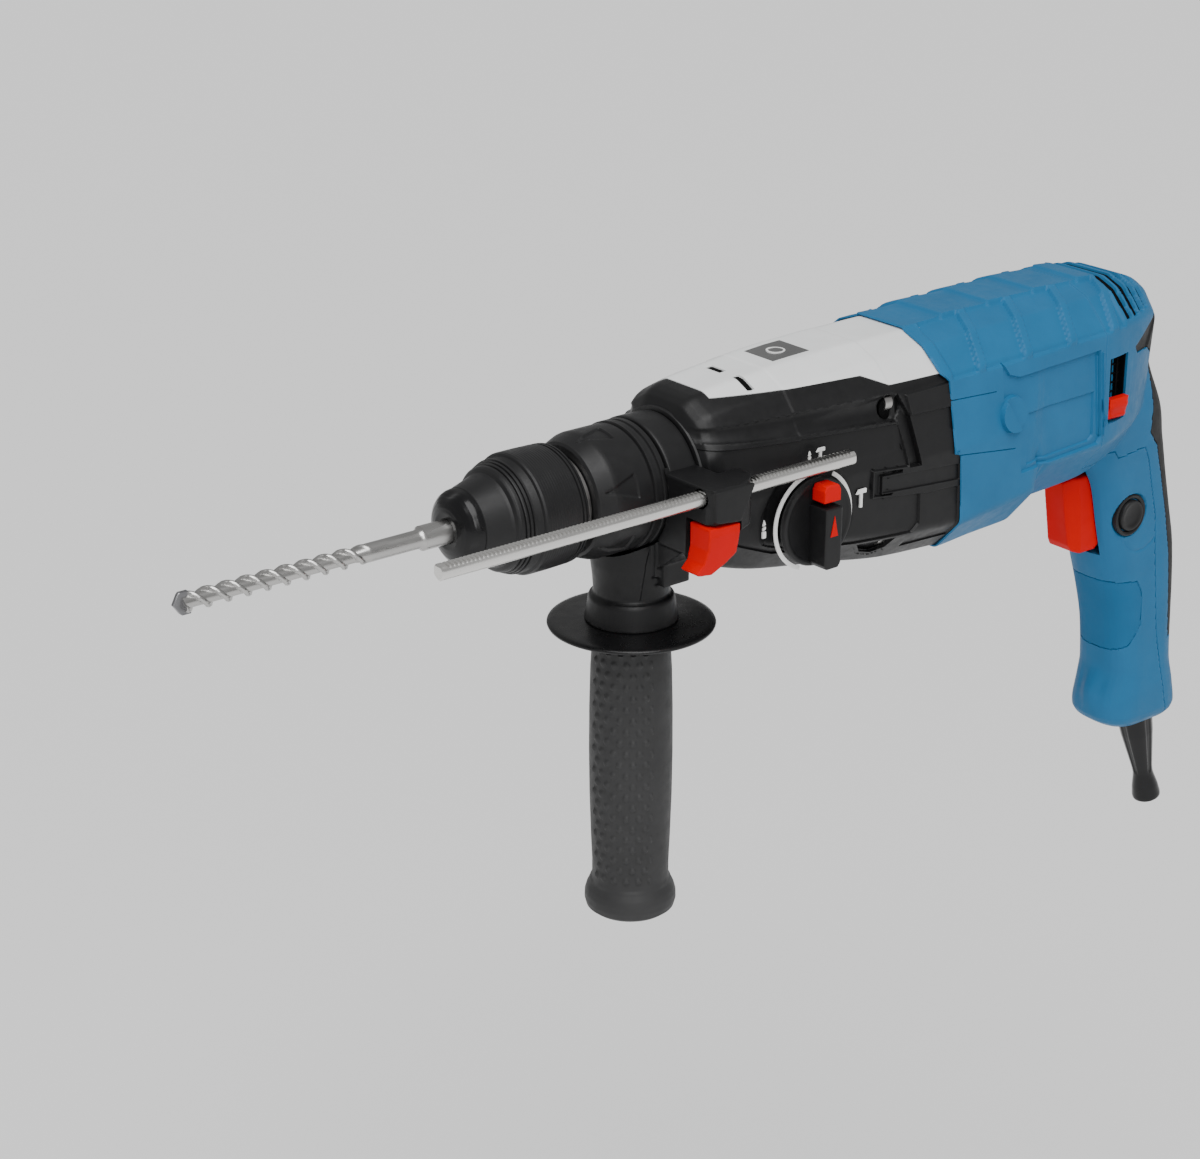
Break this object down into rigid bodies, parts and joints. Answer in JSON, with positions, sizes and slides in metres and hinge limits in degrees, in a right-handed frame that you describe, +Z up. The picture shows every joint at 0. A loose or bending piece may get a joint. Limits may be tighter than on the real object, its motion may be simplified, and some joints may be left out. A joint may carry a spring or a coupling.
{
  "type": "rotary hammer",
  "caption": "Corded rotary hammer with a quick-change chuck, drill bit, side handle with depth rod, mode dial, trigger and a pistol grip.",
  "frame": {"origin": "middle of the main grip, where the hand closes round it", "axes": "-X along the spindle towards the drill bit, +Z up, -Y the tool's left side with the dial"},
  "size_m": [0.5605, 0.0981, 0.2919],
  "materials": {
    "black_plastic": "satin, fine grain",
    "grey_cover": "satin",
    "blue_plastic": "satin, fine grain",
    "blue_soft": "matte",
    "black_rubber": "matte",
    "red_plastic": "satin",
    "chuck_black": "fine grain",
    "bright_steel": "bright",
    "gear_steel": "machined",
    "die_cast": "cast",
    "laminations": "stacked",
    "copper": "wound",
    "carbon": "matte",
    "carbide": "brazed",
    "print_white": "flat",
    "fan_plastic": "satin"
  },
  "bodies": {
    "root": {"gear_housing": "black_plastic", "top_cover": "grey_cover", "gear_carrier": "die_cast", "gear_flange": "die_cast", "housing_screws": "gear_steel", "spindle_bearing": "bright_steel", "countershaft_bearings": "bright_steel", "armature_bearings": "bright_steel", "stator_core": "laminations", "field_coils": "copper", "rear_bearing_bracket": "black_plastic", "motor_housing": "blue_plastic", "rear_handle_shell": "blue_plastic", "rubber_back": "black_rubber", "grip_insert": "blue_soft", "vent_grille": "black_plastic", "switch_module": "fan_plastic", "lock_bezel": "black_plastic", "trigger_spring": "bright_steel", "handle_screws": "gear_steel", "cord_clamp": "fan_plastic", "cord_boot": "black_rubber", "dial_ring": "print_white"},
    "armature": {"armature_shaft": "gear_steel", "armature_core": "laminations", "armature_windings": "copper", "commutator": "copper", "fan": "fan_plastic"},
    "countershaft": {"countershaft": "gear_steel", "countershaft_gear": "gear_steel"},
    "spindle": {"tool_holder": "gear_steel", "locking_balls": "bright_steel", "nose_cap": "black_rubber", "chuck_body": "gear_steel", "hammer_tube": "gear_steel", "spindle_gear": "gear_steel", "sleeve_spring": "bright_steel"},
    "bit": {"drill_bit": "bright_steel", "carbide_tip": "carbide"},
    "locking_sleeve": {"locking_sleeve": "chuck_black"},
    "change_ring": {"change_ring": "chuck_black"},
    "impact_bolt": {"impact_bolt": "gear_steel"},
    "striker": {"striker": "gear_steel"},
    "piston": {"piston": "die_cast", "piston_pin": "gear_steel"},
    "wobble_ring": {"wobble_ring": "gear_steel"},
    "brush_plate": {"brush_plate": "fan_plastic", "carbon_brushes": "carbon", "direction_lever": "red_plastic"},
    "lock_button": {"lock_button": "black_plastic"},
    "trigger": {"trigger": "red_plastic"},
    "mode_dial": {"mode_dial": "black_plastic"},
    "dial_button": {"dial_button": "red_plastic"},
    "side_handle": {"clamp_band": "black_plastic", "handle_bracket": "black_plastic", "guard_disc": "black_plastic", "clamp_bolt": "gear_steel"},
    "side_grip": {"side_grip": "black_rubber"},
    "depth_rod": {"depth_rod": "bright_steel"},
    "depth_button": {"depth_button": "red_plastic"}
  },
  "joints": [
    {"name": "armature_spin", "type": "hinge", "parent": "root", "child": "armature", "pos_m": [-0.129, 0, 0.12425], "axis": [1, 0, 0], "continuous": true},
    {"name": "countershaft_spin", "type": "hinge", "parent": "root", "child": "countershaft", "pos_m": [-0.234, 0, 0.105], "axis": [1, 0, 0], "continuous": true},
    {"name": "spindle_spin", "type": "hinge", "parent": "root", "child": "spindle", "pos_m": [-0.304, 0, 0.128], "axis": [1, 0, 0], "continuous": true},
    {"name": "bit_float", "type": "slide", "parent": "spindle", "child": "bit", "axis": [-1, 0, 0], "range_m": [0, 0.008]},
    {"name": "sleeve_slide", "type": "slide", "parent": "spindle", "child": "locking_sleeve", "axis": [1, 0, 0], "range_m": [0, 0.0045], "stiffness_N_per_m": 1500, "springref_m": -0.004, "deforming": ["sleeve_spring"]},
    {"name": "change_ring_turn", "type": "hinge", "parent": "spindle", "child": "change_ring", "pos_m": [-0.329, 0, 0.128], "axis": [1, 0, 0], "range_deg": [0, 25]},
    {"name": "impact_slide", "type": "slide", "parent": "root", "child": "impact_bolt", "axis": [1, 0, 0], "range_m": [0, 0.003]},
    {"name": "striker_slide", "type": "slide", "parent": "root", "child": "striker", "axis": [1, 0, 0], "range_m": [-0.0165, 0.006]},
    {"name": "piston_slide", "type": "slide", "parent": "root", "child": "piston", "axis": [1, 0, 0], "range_m": [-0.0048, 0.0048]},
    {"name": "wobble_swing", "type": "hinge", "parent": "root", "child": "wobble_ring", "pos_m": [-0.215, 0, 0.105], "axis": [0, 1, 0], "range_deg": [-12, 12]},
    {"name": "direction_swing", "type": "hinge", "parent": "root", "child": "brush_plate", "pos_m": [-0.075, 0, 0.12425], "axis": [-1, 0, 0], "range_deg": [0, 25]},
    {"name": "lock_press", "type": "slide", "parent": "root", "child": "lock_button", "axis": [0, 1, 0], "range_m": [0, 0.003], "stiffness_N_per_m": 600, "springref_m": -0.002},
    {"name": "trigger_pull", "type": "slide", "parent": "root", "child": "trigger", "axis": [1, 0, 0], "range_m": [0, 0.007], "stiffness_N_per_m": 800, "springref_m": -0.004, "deforming": ["trigger_spring"]},
    {"name": "dial_turn", "type": "hinge", "parent": "root", "child": "mode_dial", "pos_m": [-0.248, -0.041, 0.1085], "axis": [0, 1, 0], "range_deg": [-90, 90]},
    {"name": "dial_button_press", "type": "slide", "parent": "mode_dial", "child": "dial_button", "axis": [0, 0, -1], "range_m": [0, 0.002], "stiffness_N_per_m": 400, "springref_m": -0.002},
    {"name": "side_handle_turn", "type": "hinge", "parent": "root", "child": "side_handle", "pos_m": [-0.305, 0, 0.128], "axis": [-1, 0, 0], "range_deg": [0, 160]},
    {"name": "side_grip_screw", "type": "hinge", "parent": "side_handle", "child": "side_grip", "pos_m": [-0.311, 0, 0], "axis": [0, 0, 1], "range_deg": [0, 360]},
    {"name": "depth_rod_slide", "type": "slide", "parent": "side_handle", "child": "depth_rod", "axis": [-1, 0, 0], "range_m": [-0.012, 0.045]},
    {"name": "depth_button_press", "type": "slide", "parent": "side_handle", "child": "depth_button", "axis": [0, 1, 0], "range_m": [0, 0.0025], "stiffness_N_per_m": 900, "springref_m": -0.002}
  ],
  "couplings": [
    {"joint": "countershaft_spin", "follows": "armature_spin", "ratio": -0.27907},
    {"joint": "spindle_spin", "follows": "armature_spin", "ratio": 0.098495},
    {"joint": "wobble_swing", "follows": "piston_slide", "rad_per_m": 43.478}
  ]
}
